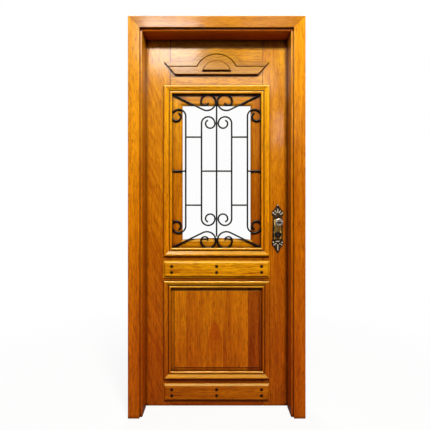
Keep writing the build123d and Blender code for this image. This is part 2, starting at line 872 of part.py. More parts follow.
# Mortise lock: case, faceplate, bolts, spindle, knobs, cylinder and plates
latch_left = leaf_half - latch_tail
deadbolt_left = leaf_half - deadbolt_length
with BuildPart() as lock_case:
    block((case_left, leaf_middle - case_thickness / 2, case_bottom),
          (case_right, leaf_middle + case_thickness / 2, case_top))
    block((case_right, leaf_middle - faceplate_width / 2, faceplate_low),
          (leaf_half, leaf_middle + faceplate_width / 2, faceplate_high))
    for height, tall, thick, left in (
        (knob_z, latch_height, latch_thickness, latch_left - latch_reach),
        (cylinder_z, deadbolt_height, deadbolt_thickness, deadbolt_left),
    ):
        half_tall = tall / 2 + bolt_clearance
        half_thick = thick / 2 + bolt_clearance
        block((left - bolt_clearance, leaf_middle - half_thick, height - half_tall),
              (leaf_half, leaf_middle + half_thick, height + half_tall), mode=Mode.SUBTRACT)
    rod((lock_x, leaf_front, knob_z), hub_radius, leaf_thickness, (0, 1, 0), Mode.SUBTRACT)
    rod((lock_x, leaf_front, cylinder_z), cylinder_radius + shaft_clearance,
        leaf_thickness, (0, 1, 0), Mode.SUBTRACT)
    for place in faceplate_screw_places:
        screw(place, (-1, 0, 0), screw_clearance, Mode.SUBTRACT)
save(lock_case, "lock_case")

# The latch is bevelled on the side that meets the strike as the door closes
with BuildPart() as latch_bolt:
    nose = leaf_half + latch_reach
    half_thick = latch_thickness / 2
    with BuildSketch(Plane.XY.offset(knob_z - latch_height / 2)):
        with BuildLine():
            Polyline(
                (latch_left, leaf_middle - half_thick),
                (leaf_half, leaf_middle - half_thick),
                (nose, leaf_middle + half_thick - 2),
                (nose, leaf_middle + half_thick),
                (latch_left, leaf_middle + half_thick),
                close=True,
            )
        make_face()
    extrude(amount=latch_height)
save(latch_bolt, "latch_bolt")

with BuildPart() as deadbolt:
    block((deadbolt_left, leaf_middle - deadbolt_thickness / 2, cylinder_z - deadbolt_height / 2),
          (leaf_half, leaf_middle + deadbolt_thickness / 2, cylinder_z + deadbolt_height / 2))
    nose_edges = deadbolt.faces().sort_by(Axis.X)[-1].edges()
    chamfer(nose_edges, length=1)
save(deadbolt, "deadbolt")

knob_foot = 0.5
with BuildPart() as knob_spindle:
    spindle_reach = leaf_thickness / 2 + knob_foot + spindle_depth_in_knob - spindle_clearance
    block((lock_x - spindle_width / 2, leaf_middle - spindle_reach, knob_z - spindle_width / 2),
          (lock_x + spindle_width / 2, leaf_middle + spindle_reach, knob_z + spindle_width / 2))
save(knob_spindle, "knob_spindle")


def knob(face, toward):
    """A turned knob on one face of the leaf, with a bar and a rim left on its front."""
    with BuildPart() as piece:
        axis_plane = Plane(origin=(lock_x, face, knob_z), x_dir=(1, 0, 0),
                           z_dir=Vector(1, 0, 0).cross(Vector(0, toward, 0)))
        neck_end = plate_total + knob_neck_length * 0.5
        with BuildSketch(axis_plane):
            with BuildLine():
                Line((0, knob_foot), (knob_neck_radius, knob_foot))
                Line((knob_neck_radius, knob_foot), (knob_neck_radius, neck_end))
                ThreePointArc((knob_neck_radius, neck_end),
                              (knob_neck_radius + 4, knob_neck_length + 1),
                              (knob_radius - 3, knob_neck_length + 6))
                ThreePointArc((knob_radius - 3, knob_neck_length + 6),
                              (knob_radius, knob_neck_length + 13),
                              (knob_radius - 4, knob_projection - 3))
                ThreePointArc((knob_radius - 4, knob_projection - 3),
                              (knob_radius - 5.2, knob_projection - 0.9),
                              (knob_radius - 8, knob_projection))
                Line((knob_radius - 8, knob_projection), (0, knob_projection))
                Line((0, knob_projection), (0, knob_foot))
            make_face()
        revolve(axis=Axis((lock_x, face, knob_z), (0, toward, 0)))
        recess_plane = Plane(origin=(lock_x, face + toward * knob_projection, knob_z),
                             x_dir=(1, 0, 0), z_dir=(0, toward, 0))
        with BuildSketch(recess_plane):
            Circle(knob_radius - 5 - knob_rim)
            with BuildLine():
                tip = knob_radius - 3 - knob_rim
                ThreePointArc((-tip, 0), (0, knob_bar_height / 2), (tip, 0))
                ThreePointArc((tip, 0), (0, -knob_bar_height / 2), (-tip, 0))
            make_face(mode=Mode.SUBTRACT)
        extrude(amount=-knob_face_recess, mode=Mode.SUBTRACT)
        socket = spindle_width / 2 + spindle_clearance
        ends = sorted((face, face + toward * (knob_foot + spindle_depth_in_knob)))
        block((lock_x - socket, ends[0], knob_z - socket),
              (lock_x + socket, ends[1], knob_z + socket), mode=Mode.SUBTRACT)
    return piece


save(knob(leaf_front, -1), "knob_front")
save(knob(leaf_back, 1), "knob_back")

# Lock cylinder: a round barrel with a ring at both ends, and its turning plug
with BuildPart() as lock_cylinder:
    barrel_half = leaf_thickness / 2 + cylinder_projection
    ring_length = cylinder_projection - plate_base
    rod((lock_x, leaf_middle - barrel_half, cylinder_z), cylinder_radius, 2 * barrel_half,
        (0, 1, 0))
    for toward in (-1, 1):
        rod((lock_x, leaf_middle + toward * barrel_half, cylinder_z), cylinder_ring_radius,
            ring_length, (0, -toward, 0))
    ring_faces = lock_cylinder.faces().filter_by(Axis.Y).sort_by(Axis.Y)
    fillet(ring_faces[0].edges() + ring_faces[-1].edges(), radius=3)
    rod((lock_x, leaf_middle - barrel_half, cylinder_z), plug_radius + plug_clearance,
        2 * barrel_half, (0, 1, 0), Mode.SUBTRACT)
save(lock_cylinder, "lock_cylinder")

with BuildPart() as cylinder_plug:
    plug_half = barrel_half - cylinder_face_recess
    rod((lock_x, leaf_middle - plug_half, cylinder_z), plug_radius, 2 * plug_half, (0, 1, 0))
    for toward in (-1, 1):
        mouth = leaf_middle + toward * plug_half
        ends = sorted((mouth, mouth - toward * keyway_depth))
        block((lock_x - keyway_width / 2, ends[0], cylinder_z - keyway_height / 2),
              (lock_x + keyway_width / 2, ends[1], cylinder_z + keyway_height / 2),
              mode=Mode.SUBTRACT)
save(cylinder_plug, "cylinder_plug")


def plate_outline():
    """Outline of a cast lock plate: a ball, a palmette, a straight shaft and a pointed foot."""
    with BuildSketch() as outline:
        with BuildLine():
            for first, middle, last in (
                ((0, 140), (5, 135), (4, 129)),
                ((4, 129), (8, 124), (13.5, 122)),
                ((18, 107), (27, 102), (32, 90)),
                ((32, 90), (31, 80), (25, 73)),
                ((25, 73), (24, 65), (28, 58)),
                ((28, -63), (32, -77), (31, -92)),
                ((31, -92), (19, -107), (11, -124)),
                ((11, -124), (4.5, -132), (0, -140)),
            ):
                ThreePointArc(in_plate(*first), in_plate(*middle), in_plate(*last))
            Line(in_plate(13.5, 122), in_plate(18, 107))
            Line(in_plate(28, 58), in_plate(28, -63))
            Line(in_plate(0, -140), in_plate(0, 140))
        make_face()
        mirror(about=Plane.YZ)
    return outline.sketch


def in_plate(x, y):
    """A point of the lock plate, from its place on a plate 280 high."""
    return (x * plate_unit, y * plate_unit)


def petal(base, x, y, angle, length, width):
    """A raised petal of a lock plate about a place, lying along an angle."""
    with BuildSketch(base.offset(plate_total - plate_base)) as foot:
        with Locations(in_plate(x, y)):
            SlotOverall(length * plate_unit, width * plate_unit, rotation=angle)
    with BuildSketch(base.offset(plate_total + plate_petal)) as crown:
        with Locations(in_plate(x, y)):
            SlotOverall(0.8 * length * plate_unit, 0.35 * width * plate_unit, rotation=angle)
    loft([foot.sketch, crown.sketch])


def boss(base, x, y, radius):
    """A half ball on the face of a lock plate."""
    across, up = in_plate(x, y)
    with Locations(base.offset(plate_total).location * Location((across, up, 0))):
        Sphere(radius * plate_unit)


def lock_plate(face, toward):
    """A lock plate on one face of the leaf, with its relief, recessed field and holes."""
    outward = Vector(0, toward, 0)
    with BuildPart() as piece:
        base = Plane(origin=(lock_x, face, plate_z), x_dir=(-toward, 0, 0), z_dir=outward)
        with BuildSketch(base):
            add(plate_outline())
        extrude(amount=plate_total)
        with BuildSketch(base.offset(plate_total)):
            with Locations((0, -plate_field_drop)):
                RectangleRounded(plate_field_width, plate_field_height, 3)
        extrude(amount=-plate_relief, mode=Mode.SUBTRACT)
        petal(base, 0, 102, 90, 30, 9)
        petal(base, 0, -108, 90, 42, 10)
        petal(base, 0, -73, 0, 28, 8)
        boss(base, 0, 133, 4.2)
        for side in (-1, 1):
            petal(base, side * 11, 95, 90 - side * 30, 24, 8)
            petal(base, side * 19, 83, 90 - side * 62, 20, 8)
            petal(base, side * 17, -90, 90 + side * 62, 24, 8)
            boss(base, side * 26.5, 90, 4)
            boss(base, side * 25, -79, 4.2)
        for height, radius in (
            (knob_z, knob_neck_radius + shaft_clearance),
            (cylinder_z, cylinder_radius + shaft_clearance),
        ):
            rod((lock_x, face, height), radius, plate_total, (0, toward, 0), Mode.SUBTRACT)
        bite = plate_screw_bite if toward < 0 else plate_total + plate_petal
        for offset in (-plate_screw_distance, plate_screw_distance):
            rod((lock_x, face, plate_z + offset), plate_screw_radius + screw_clearance,
                bite, (0, toward, 0), Mode.SUBTRACT)
            if toward > 0:
                rod((lock_x, face + plate_total, plate_z + offset),
                    plate_screw_head_radius + screw_clearance, plate_petal + 1, (0, 1, 0),
                    Mode.SUBTRACT)
    return piece


save(lock_plate(leaf_front, -1), "escutcheon_front")
save(lock_plate(leaf_back, 1), "escutcheon_back")

# Screws that clamp the two lock plates together through the leaf
with BuildPart() as escutcheon_screws:
    for offset in (-plate_screw_distance, plate_screw_distance):
        seat = (lock_x, leaf_back + plate_total, plate_z + offset)
        rod(seat, plate_screw_head_radius, plate_screw_head_height, (0, 1, 0))
        reach = plate_total + leaf_thickness + plate_screw_bite - screw_clearance
        rod(seat, plate_screw_radius, reach, (0, -1, 0))
save(escutcheon_screws, "escutcheon_screws")


# Wrought iron grille: round bars in one plane, bent into scrolls and joined by short cross bars
def bar_along(path):
    """A round bar along a path."""
    with BuildSketch(Plane(origin=path @ 0, z_dir=path % 0)) as section:
        Circle(bar_radius)
    sweep(section.sketch, path=path)


def mirror_four_ways():
    """Completes a bar that was made in the upper left quarter of the window."""
    mirror(about=Plane.XY.offset(window_middle))
    mirror(about=Plane.YZ)


def scroll_bar(bar_x, rise, radii, turn):
    """Side bars with a scroll at both ends. Turn is -1 toward the middle and 1 away from it."""
    with BuildPart() as piece:
        with BuildLine(front_plane(grille_y)) as path:
            stem = Line((-bar_x, window_middle), (-bar_x, window_middle + rise))
            first = JernArc(stem @ 1, stem % 1, radii[0], turn * 180)
            second = JernArc(first @ 1, first % 1, radii[1], turn * 180)
            JernArc(second @ 1, second % 1, radii[2], turn * scroll_tail_turn)
        bar_along(path.wire())
        mirror_four_ways()
    return piece


save(scroll_bar(inner_bar_x, inner_scroll_rise, inner_scroll_radii, -1), "grille_inner_bars")
save(scroll_bar(outer_bar_x, outer_scroll_rise, outer_scroll_radii, 1), "grille_outer_bars")

brace_inner_x = bar_radius + twin_gap / 2
heading = (cos(radians(brace_slope)), -sin(radians(brace_slope)))
brace_foot = (
    -brace_inner_x - brace_turn_radius - brace_turn_radius * sin(radians(brace_slope)),
    window_middle + brace_scroll_rise - brace_turn_radius * cos(radians(brace_slope)),
)
brace_run = (opening_half + 3 * bar_radius + brace_foot[0]) / heading[0]
brace_start = (brace_foot[0] - brace_run * heading[0], brace_foot[1] - brace_run * heading[1])
with BuildPart() as corner_scrolls:
    with BuildLine(front_plane(grille_y)) as brace_path:
        brace = Line(brace_start, brace_foot)
        turn_up = JernArc(brace @ 1, brace % 1, brace_turn_radius, 90 + brace_slope)
        curl = JernArc(turn_up @ 1, turn_up % 1, brace_scroll_radius, 180)
        JernArc(curl @ 1, curl % 1, brace_tail_radius, brace_tail_turn)
    bar_along(brace_path.wire())
    split(bisect_by=Plane(origin=(-opening_half, 0, 0), z_dir=(1, 0, 0)), keep=Keep.TOP)
    mirror_four_ways()
save(corner_scrolls, "grille_corner_scrolls")

# The centre bar ends where the corner scrolls close in on it
closing_reach = brace_turn_radius + bar_radius + 3 * bar_gap
closing_offset = brace_turn_radius + brace_inner_x - bar_radius
closing_drop = (closing_reach ** 2 - closing_offset ** 2) ** 0.5
centre_bar_reach = brace_scroll_rise - closing_drop
with BuildPart() as centre_bar:
    rod((0, grille_y, window_middle - centre_bar_reach), bar_radius, 2 * centre_bar_reach,
        (0, 0, 1))
save(centre_bar, "grille_centre_bar")

with BuildPart() as cross_bars:
    reach = bar_radius + bar_gap
    for start, end, height in (
        (inner_bar_x + reach, outer_bar_x - reach, cross_bar_rise),
        (inner_bar_x + reach, outer_bar_x - reach, -cross_bar_rise),
        (reach, inner_bar_x - reach, 0),
        (outer_bar_x + reach, opening_half, 0),
    ):
        for sign in (-1, 1):
            rod((sign * start, grille_y, window_middle + height), bar_radius, end - start,
                (sign, 0, 0))
save(cross_bars, "grille_cross_bars")


# Sash that opens inward behind the grille: four members with a bevelled inner edge
sticking_box = (sash_face_half, sash_face_bottom, sash_face_top)


def sash_member(low, high, side):
    with BuildPart() as piece:
        mitred_length(sticking_profile, sticking_width, sticking_thickness, sticking_box,
                      side, sash_front + sticking_thickness, -1)
        block(low, high)
        if side == (1, 0):
            for place in sash_screw_places(1):
                screw(place, (0, -1, 0), screw_clearance, Mode.SUBTRACT)
    return piece


save(sash_member((-sash_half, sash_front, sash_bottom),
                 (-sash_face_half, sash_back, sash_top), (1, 0)), "sash_stile_left")
save(sash_member((sash_face_half, sash_front, sash_bottom),
                 (sash_half, sash_back, sash_top), (-1, 0)), "sash_stile_right")
save(sash_member((-sash_face_half, sash_front, sash_face_top),
                 (sash_face_half, sash_back, sash_top), (0, -1)), "sash_rail_top")
with BuildPart() as sash_rail_bottom:
    mitred_length(sticking_profile, sticking_width, sticking_thickness, sticking_box,
                  (0, 1), sash_front + sticking_thickness, -1)
    block((-sash_face_half, sash_front, sash_bottom),
          (sash_face_half, sash_back, sash_face_bottom))
    with BuildSketch(front_plane(sash_front + sticking_thickness)):
        with BuildLine():
            ThreePointArc((-sight_half, sight_bottom), (0, sight_bottom + sash_arch_rise),
                          (sight_half, sight_bottom))
            Line((sight_half, sight_bottom), (-sight_half, sight_bottom))
        make_face()
    extrude(amount=sticking_thickness - sticking_bevel)
save(sash_rail_bottom, "sash_rail_bottom")

with BuildPart() as sash_glass:
    block((-sight_half - glass_rebate, glass_front, sight_bottom - glass_rebate),
          (sight_half + glass_rebate, glass_front + glass_thickness, sight_top + glass_rebate))
save(sash_glass, "sash_glass")

bead_thickness = sash_back - glass_front - glass_thickness
bead_lengths = []
bead_box = (sight_half + bead_width, sight_bottom - bead_width, sight_top + bead_width)
for direction in frame_sides.values():
    with BuildPart() as bead_length:
        mitred_length(bead_profile, bead_width, bead_thickness, bead_box, direction,
                      glass_front + glass_thickness, 1)
    bead_lengths.append(bead_length.part)
with BuildPart() as glazing_beads:
    add(bead_lengths)
save(glazing_beads, "sash_glazing_beads")


# Small hinges of the sash, screwed on the inside face, with the pins fixed in the stile plates
def sash_hinge_half(side):
    """All plates on the stile (-1) or on the sash (+1), with their knuckles."""
    knuckle_height = sash_hinge_height / 3
    spans = ((0, knuckle_height), (2 * knuckle_height, sash_hinge_height))
    if side > 0:
        spans = ((knuckle_height, 2 * knuckle_height),)
    near = sash_hinge_x + side * sash_plate_start
    far = near + side * sash_plate_width
    with BuildPart() as piece:
        for height in sash_hinge_heights:
            low = height - sash_hinge_height / 2
            block((min(near, far), leaf_back, low),
                  (max(near, far), leaf_back + sash_plate_thickness, low + sash_hinge_height))
            for start, stop in spans:
                base = low + start + knuckle_gap / 2
                tall = stop - start - knuckle_gap
                block((min(near, sash_hinge_x), leaf_back + sash_knuckle_stand_off, base),
                      (max(near, sash_hinge_x), leaf_back + sash_plate_thickness, base + tall))
                rod((sash_hinge_x, sash_hinge_y, base), sash_knuckle_radius, tall, (0, 0, 1))
            if side > 0:
                rod((sash_hinge_x, sash_hinge_y, low), sash_pin_radius + pin_clearance,
                    sash_hinge_height, (0, 0, 1), Mode.SUBTRACT)
            else:
                rod((sash_hinge_x, sash_hinge_y, low + knuckle_height / 2), sash_pin_radius,
                    2 * knuckle_height, (0, 0, 1))
        for place in sash_screw_places(side):
            screw(place, (0, -1, 0), screw_clearance, Mode.SUBTRACT)
    return piece


save(sash_hinge_half(-1), "sash_hinge_stile_plates")
save(sash_hinge_half(1), "sash_hinge_sash_plates")

with BuildPart() as sash_screws:
    for place in sash_screw_places(1):
        screw(place, (0, -1, 0))
save(sash_screws, "sash_screws")

# Turn button on the inside of the lock stile, which holds the sash shut when it is turned
with BuildPart() as turn_button:
    button_plane = front_plane(leaf_back + button_stand_off)
    with BuildSketch(button_plane):
        with Locations((button_x, window_middle)):
            SlotOverall(button_length, button_width, rotation=90)
    extrude(amount=-button_thickness)
    outer_edges = turn_button.faces().sort_by(Axis.Y)[-1].edges()
    fillet(outer_edges, radius=1.5)
    screw(button_screw_place, (0, -1, 0), screw_clearance, Mode.SUBTRACT)
save(turn_button, "turn_button")
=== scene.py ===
import json
import math
from collections import namedtuple
import bpy
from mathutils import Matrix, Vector


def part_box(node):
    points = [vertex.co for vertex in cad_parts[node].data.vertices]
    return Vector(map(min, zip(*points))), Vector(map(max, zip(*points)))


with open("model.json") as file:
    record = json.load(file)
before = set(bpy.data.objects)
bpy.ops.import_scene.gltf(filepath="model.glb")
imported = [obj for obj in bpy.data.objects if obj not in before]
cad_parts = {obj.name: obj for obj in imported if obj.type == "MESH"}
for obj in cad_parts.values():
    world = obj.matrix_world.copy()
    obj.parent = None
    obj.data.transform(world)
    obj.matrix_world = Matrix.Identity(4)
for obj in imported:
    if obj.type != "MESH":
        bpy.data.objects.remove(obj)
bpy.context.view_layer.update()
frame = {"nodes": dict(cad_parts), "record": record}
nodes = frame["nodes"]


def middle_of(name):
    """The middle of a CAD piece at rest, in metres."""
    low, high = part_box(name)
    return [(start + end) / 2 for start, end in zip(low, high)]


def pieces_of(slot):
    """The CAD pieces that the record gives one material slot."""
    return [row["node"] for row in frame["record"]["subparts"] if row["material_slot"] == slot]


# Camera: straight on and level, as in the photograph
EYE = (-0.0092, -1.9845, 1.099)
LENS_MM = 29.17
SENSOR_MM = 36.0
camera_data = bpy.data.cameras.new("camera")
camera_data.lens = LENS_MM
camera_data.sensor_width = SENSOR_MM
camera = bpy.data.objects.new("camera", camera_data)
camera.location = EYE
camera.rotation_euler = (math.radians(90), 0, 0)
bpy.context.scene.collection.objects.link(camera)
bpy.context.scene.camera = camera


# Colour and node helpers
def rgb(red, green, blue):
    """A colour given as it looks on screen, from 0 to 255."""
    def linear(value):
        value /= 255.0
        return value / 12.92 if value <= 0.04045 else ((value + 0.055) / 1.055) ** 2.4
    return (linear(red), linear(green), linear(blue), 1.0)


class Graph:
    """A short way to add nodes to a material or world and join them."""

    def __init__(self, tree):
        self.tree = tree
        self.tree.nodes.clear()

    def add(self, kind, values=None, **settings):
        node = self.tree.nodes.new(kind)
        for key, value in settings.items():
            setattr(node, key, value)
        for key, value in (values or {}).items():
            self.put(node.inputs[key], value)
        return node

    def put(self, socket, value):
        if isinstance(value, bpy.types.NodeSocket):
            self.tree.links.new(value, socket)
        else:
            socket.default_value = value

    def end(self, shader, kind="ShaderNodeOutputMaterial"):
        """Makes this shader the one that is seen."""
        self.add(kind, {0: shader.outputs[0]})

    def place(self):
        """Place on the piece in metres, which stays with the piece as it moves."""
        return self.add("ShaderNodeTexCoord").outputs["Object"]

    def split(self, vector):
        return self.add("ShaderNodeSeparateXYZ", {"Vector": vector}).outputs

    def math(self, operation, a, b=0.0):
        return self.add("ShaderNodeMath", {0: a, 1: b}, operation=operation).outputs[0]

    def vector(self, operation, a, b):
        return self.add("ShaderNodeVectorMath", {0: a, 1: b}, operation=operation).outputs[0]

    def apart(self, a, b):
        """How far two numbers are apart."""
        return self.math("ABSOLUTE", self.math("SUBTRACT", a, b))

    def remap(self, value, low, high, to_low=0.0, to_high=1.0):
        node = self.add("ShaderNodeMapRange", {"Value": value, "From Min": low, "From Max": high,
                                              "To Min": to_low, "To Max": to_high})
        return node.outputs["Result"]

    def mix(self, factor, a, b, blend="MIX"):
        node = self.add("ShaderNodeMix", data_type="RGBA", blend_type=blend)
        for index, value in ((0, factor), (6, a), (7, b)):
            self.put(node.inputs[index], value)
        return node.outputs[2]

    def noise(self, vector, scale, detail=2.0, roughness=0.5, distortion=0.0):
        node = self.add("ShaderNodeTexNoise", {"Vector": vector, "Scale": scale,
                                              "Detail": detail, "Roughness": roughness,
                                              "Distortion": distortion})
        return node.outputs["Fac"]

    def move(self, vector, location=(0, 0, 0), rotation=(0, 0, 0), scale=(1, 1, 1)):
        node = self.add("ShaderNodeMapping", {"Vector": vector, "Location": location,
                                             "Rotation": rotation, "Scale": scale})
        return node.outputs["Vector"]

    def bump(self, height, strength, distance):
        return self.add("ShaderNodeBump", {"Strength": strength, "Distance": distance,
                                           "Height": height}).outputs[0]

    def paint_corner_shade(self, colour, stain, reach, full, none, most):
        """Painted shade: darkening gathered in grooves and corners, where shade falls.

        Reach is how far a spot looks round itself, in metres. The painted shade is darkest where
        less than full of its view is open, and there is none where more than none of it is.
        """
        corner = self.add("ShaderNodeAmbientOcclusion", {"Distance": reach}, samples=12)
        shaded = self.remap(corner.outputs["AO"], full, none, most, 0.0)
        return self.mix(shaded, colour, stain)


def new_material(name):
    material = bpy.data.materials.new(name)
    material.use_nodes = True
    return material, Graph(material.node_tree)


def paint(name, material):
    """Gives a CAD piece a material in place of its plain one."""
    slots = nodes[name].data.materials
    slots.clear()
    slots.append(material)


# How a piece of wood is cut. Along is the direction of its grain and seed its place in the tree.
# Tone makes it lighter, gold makes it yellower, tilt slants its grain by so many degrees, ribbon
# adds a slanting figure, and its painted highlight is how far its slopes that face up are painted
# a paler gold. A nailed piece has iron stain round its nails, and a staved one is glued up from
# upright staves.
Cut = namedtuple("Cut", "along seed tone gold tilt ribbon rub nailed staved",
                 defaults=(1.0, 1.0, 0.0, 0.0, 0.5, False, False))
WOOD = {
    "architrave_front_left": Cut("Z", 1, 1.10, 0.98),
    "architrave_front_right": Cut("Z", 2, 1.04, 0.96),
    "architrave_front_head": Cut("X", 3, 0.62, 0.88),
    "architrave_back_left": Cut("Z", 4),
    "architrave_back_right": Cut("Z", 5),
    "architrave_back_head": Cut("X", 6, 0.9),
    "jamb_left": Cut("Z", 7, 0.97),
    "jamb_right": Cut("Z", 8, 1.04),
    "jamb_head": Cut("X", 9, 0.80, 0.50),
    "stile_left": Cut("Z", 10, 0.92, tilt=1.4, ribbon=0.5),
    "stile_right": Cut("Z", 11, 0.90, 1.02, tilt=0.2),
    "rail_top": Cut("X", 12, 0.84, 1.05),
    "rail_middle": Cut("X", 13, 0.92, 1.1),
    "rail_bottom": Cut("X", 14, 0.9),
    "pediment": Cut("X", 15, 0.60, 1.04, rub=0.0),
    "board_middle": Cut("X", 16, 1.50, 1.66, tilt=0.6, nailed=True),
    "board_bottom": Cut("X", 17, 1.12, 1.34, tilt=0.3, nailed=True),
    "moulding_upper_top": Cut("X", 18, 1.2, 1.15),
    "moulding_upper_bottom": Cut("X", 19, 1.3, 1.45),
    "moulding_upper_left": Cut("Z", 20, 1.25, 1.15),
    "moulding_upper_right": Cut("Z", 21, 1.32, 1.2),
    "moulding_lower_top": Cut("X", 22, 1.34, 1.7),
    "moulding_lower_bottom": Cut("X", 23, 1.55, 1.65),
    "moulding_lower_left": Cut("Z", 24, 0.95, 1.1),
    "moulding_lower_right": Cut("Z", 25, 0.92),
    "mouldings_back": Cut("Z", 26, 0.95, 1.1),
    "sash_stile_left": Cut("Z", 27, 1.12, 1.15),
    "sash_stile_right": Cut("Z", 28, 0.66, 0.86),
    "sash_rail_top": Cut("X", 29, 0.85),
    "sash_rail_bottom": Cut("X", 30, 1.05, 1.4),
    "sash_glazing_beads": Cut("Z", 31, 0.9),
    "turn_button": Cut("Z", 32, 0.8),
    "panel_lower": Cut("Z", 33, 1.17, 1.27, tilt=2.0, staved=True),
}

# Tone of the wood at three heights, darker and redder low down and golden near the top: painted
# shade that adds to the light falling off toward the floor
TONE_HEIGHTS = (0.3, 1.1, 1.95)
TONES = ((0.53, 0.088, 0.0004), (0.54, 0.138, 0.0006), (0.58, 0.235, 0.004))
# Strength of its red, and of its green and blue, in the light and the dark parts of the figure
LIGHT_PARTS = ((1.36, 1.7), (1.34, 1.65), (1.3, 1.4))
DARK_PARTS = ((0.62, 0.42), (0.62, 0.42), (0.66, 0.5))
# Paler gold painted on slopes that face up: a painted highlight where the light from above falls
PAINTED_HIGHLIGHT_GOLD = (0.66, 0.42, 0.06, 1.0)

# Patterns of the wood: how often they change in a metre, across twice and then along the grain
WANDER = (3.0, 3.0, 1.3)
BROAD = (9, 9, 0.8)
BANDS = (34, 34, 1.8)
FEATHER = (48, 48, 4.5)
RIPPLE = (60, 60, 12)
STREAKS = (150, 150, 8)
DASHES = (210, 210, 16)
PORES = (620, 620, 30)
RINGS = 11.0
RING_STRETCH = (1, 1, 0.05)
FEATHER_SLANT = math.radians(24)
# How far the grain wanders from a straight line, and where nearly all of a noise's values lie
WANDER_REACH = 0.06
NOISE_SPREAD = (0.38, 0.62)
# Dashes and pores drawn over the figure, the painted shade in the corners, and the stain round the
# nails
DASH_COLOUR = rgb(110, 38, 1)
PORE_COLOUR = rgb(84, 26, 1)
PAINTED_CORNER_SHADE = rgb(66, 15, 1)
NAIL_STAIN = rgb(58, 16, 4)

# Staves of the panel: left edge, strength of red and of green, and the place of the grain
STAVES = [(0.0, 1.04, 1.06, 0.45), (0.184, 0.86, 0.74, 0.62), (0.318, 1.03, 1.04, 0.52),
          (0.564, 0.97, 0.92, 0.72), (0.817, 0.58, 0.40, 0.28)]
STAVES_REACH = 0.28
STAVE_SHIFT = (7.0, 3.0, 9.0)
# Flame of the panel: the line it is drawn round, its tip, how fast it spreads, its right edge, the
# heights between which it fades in, and the size of its stripes
FLAME_MIDDLE = -0.010
FLAME_TIP = 0.492
FLAME_SPREAD = 70.0
FLAME_EDGE = 0.0311
FLAME_FADES = (0.27, 0.40)
FLAME_STRIPE = 0.014
FLAME_SOFTNESS = 0.010

# Nails of a board: their spacing along it, how far each row is from its middle, and the distances
# from a nail between which its stain fades
NAIL_PITCH = 0.256
NAIL_ROW = 0.017
NAIL_STAIN_FADES = (0.0082, 0.0115)


def shift_of(seed):
    """Place in the tree that a piece is cut from."""
    return (0.37 * seed + 0.11, 0.23 * seed - 0.4, 0.71 * seed)


def pattern(g, grain, size, detail=2.0, roughness=0.5, distortion=0.0):
    return g.noise(g.move(grain, scale=size), 1.0, detail, roughness, distortion)


def stave_ramp(g, across):
    """Half the strength of red and of green in each stave, and the place of its grain."""
    ramp = g.add("ShaderNodeValToRGB", {"Fac": g.remap(across, -STAVES_REACH, STAVES_REACH)})
    ramp.color_ramp.interpolation = "CONSTANT"
    stops = ramp.color_ramp.elements
    for index, (edge, red, green, number) in enumerate(STAVES):
        stop = stops[index] if index < 2 else stops.new(edge)
        stop.position = edge
        stop.color = (red / 2, green / 2, number, 1)
    return ramp.outputs["Color"]


def grain_space(g, start, cut):
    """Space that is turned and bent so that the grain runs along its z, and the bend itself."""
    turn = {"X": (0, math.radians(90), 0), "Z": (0, 0, 0)}[cut.along]
    grain = g.move(start, location=shift_of(cut.seed), rotation=turn)
    grain = g.move(grain, rotation=(math.radians(cut.tilt), math.radians(0.6 * cut.tilt), 0))
    wander = g.math("SUBTRACT", pattern(g, grain, WANDER), 0.5)
    wander = g.math("MULTIPLY", wander, WANDER_REACH)
    push = g.add("ShaderNodeCombineXYZ", {"X": wander, "Y": wander})
    return g.vector("ADD", grain, push.outputs[0]), wander


def figure_of(g, place, grain, streaks, cut):
    """Dark and light of the wood, from 0 to 1."""
    rings = g.add("ShaderNodeTexWave", {"Vector": g.move(grain, scale=RING_STRETCH),
                                        "Scale": RINGS, "Distortion": 4.0,
                                        "Detail": 2.0, "Detail Scale": 1.2},
                  wave_type="RINGS", rings_direction="Z", wave_profile="SAW")
    figure = g.math("MULTIPLY", rings.outputs["Fac"], 0.14)
    for layer, share in ((pattern(g, grain, BROAD, 3.0, 0.55), 0.28),
                         (pattern(g, grain, BANDS, 3.0, 0.6), 0.28), (streaks, 0.30)):
        part = g.math("MULTIPLY", g.remap(layer, *NOISE_SPREAD), share)
        figure = g.math("ADD", figure, part)
    if cut.ribbon:
        slant = g.move(place, location=shift_of(cut.seed), rotation=(0, FEATHER_SLANT, 0))
        feather = pattern(g, slant, FEATHER, 3.0, 0.55, 0.8)
        figure = g.mix(cut.ribbon, figure, g.remap(feather, 0.34, 0.66))
    return figure


def tone_at(g, height, parts):
    """Tone of the light or the dark parts of the figure at a height, with painted shade that
    darkens it toward the floor.
    """
    low, middle, high = [(tone[0] * red, tone[1] * other, tone[2] * other, 1.0)
                         for tone, (red, other) in zip(TONES, parts)]
    colour = g.mix(g.remap(height, TONE_HEIGHTS[0], TONE_HEIGHTS[1]), low, middle)
    return g.mix(g.remap(height, TONE_HEIGHTS[1], TONE_HEIGHTS[2]), colour, high)


def tint_staves(g, colour, stave):
    """Gives each stave of the panel a colour of its own."""
    half = g.add("ShaderNodeSeparateColor", {"Color": stave}).outputs
    strength = g.add("ShaderNodeCombineColor", {0: g.math("MULTIPLY", half[0], 2.0),
                                                1: g.math("MULTIPLY", half[1], 2.0), 2: 1.0})
    return g.mix(1.0, colour, strength.outputs[0], "MULTIPLY")


